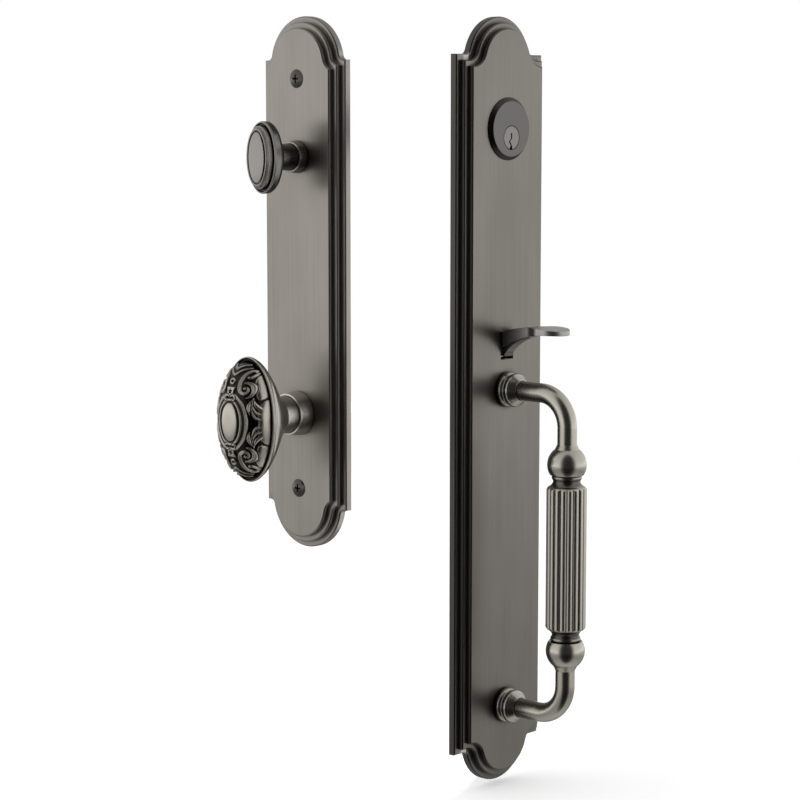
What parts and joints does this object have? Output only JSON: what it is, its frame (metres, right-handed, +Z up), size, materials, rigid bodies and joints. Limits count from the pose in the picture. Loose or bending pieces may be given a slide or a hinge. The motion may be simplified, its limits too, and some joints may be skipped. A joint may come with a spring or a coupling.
{
  "type": "entry door handleset",
  "caption": "Entry door set: arched stepped outside plate with key cylinder, thumb piece and reeded grip, and inside plate with oval turn and ornamental knob.",
  "frame": {"origin": "on the back plane of the outside plate, on its upright centre line, at the height of the latch, which is the axis of the grip's upper foot and the height of the knob's spindle before the inside half was set down beside it", "axes": "+Z up; +Y into the door, away from the front of the outside plate; +X to the right of a person who faces the outside plate; the inside half stands beside it and faces -X"},
  "size_m": [0.1516, 0.1785, 0.4173],
  "materials": {
    "pewter_plate": "antique pewter plating, brushed, darkened in the corners",
    "pewter_trim": "antique pewter plating, polished on the high places",
    "cylinder_metal": "antique pewter plating, satin",
    "dark_screws": "dark plated",
    "steel": "zinc plated",
    "spring_steel": "blued spring steel"
  },
  "bodies": {
    "fixed": {"exterior_plate": "pewter_plate", "mounting_posts": "steel", "cylinder_housing": "cylinder_metal", "cylinder_nut": "steel", "thumb_pivot_pin": "steel", "thumb_bracket": "steel", "bracket_screws": "steel", "thumb_spring": "spring_steel", "grip_upper_arm": "pewter_trim", "grip_lower_arm": "pewter_trim", "grip_barrel": "pewter_trim", "grip_tie_rod": "steel", "upper_rosette": "pewter_trim", "lower_rosette": "pewter_trim", "grip_screws": "steel", "grip_washers": "steel", "interior_plate": "pewter_plate", "interior_screws": "dark_screws", "turn_collar": "pewter_trim", "knob_collar": "pewter_trim", "spring_cup": "steel", "cassette_cover": "steel", "cassette_screws": "steel", "knob_return_spring": "spring_steel"},
    "plug": {"cylinder_plug": "cylinder_metal", "plug_cap": "cylinder_metal", "cap_screws": "steel", "deadbolt_tailpiece": "steel"},
    "thumb": {"thumb_piece": "pewter_plate", "lift_tail": "steel", "tail_rivets": "steel"},
    "turn": {"turn_knob": "pewter_trim", "turn_circlip": "spring_steel"},
    "knob": {"knob_back": "pewter_trim", "knob_face": "pewter_trim", "knob_spindle": "steel", "spindle_set_screw": "steel", "knob_circlip": "spring_steel", "knob_drive_hub": "steel"}
  },
  "joints": [
    {"name": "key_turn", "type": "hinge", "parent": "fixed", "child": "plug", "pos_m": [0, 0, 0.13505], "axis": [0, 1, 0], "range_deg": [-90, 90]},
    {"name": "thumb_press", "type": "hinge", "parent": "fixed", "child": "thumb", "pos_m": [0, -0.0035, 0.026], "axis": [1, 0, 0], "range_deg": [0, 14], "stiffness_Nm_per_rad": 0.15, "springref_deg": -22.92, "deforming": ["thumb_spring"]},
    {"name": "turn_lock", "type": "hinge", "parent": "fixed", "child": "turn", "pos_m": [-0.054, 0.0853, 0.1245], "axis": [1, 0, 0], "range_deg": [0, 90]},
    {"name": "knob_turn", "type": "hinge", "parent": "fixed", "child": "knob", "pos_m": [-0.054, 0.0853, -0.0152], "axis": [1, 0, 0], "range_deg": [-60, 60], "stiffness_Nm_per_rad": 0.4, "deforming": ["knob_return_spring"]}
  ]
}
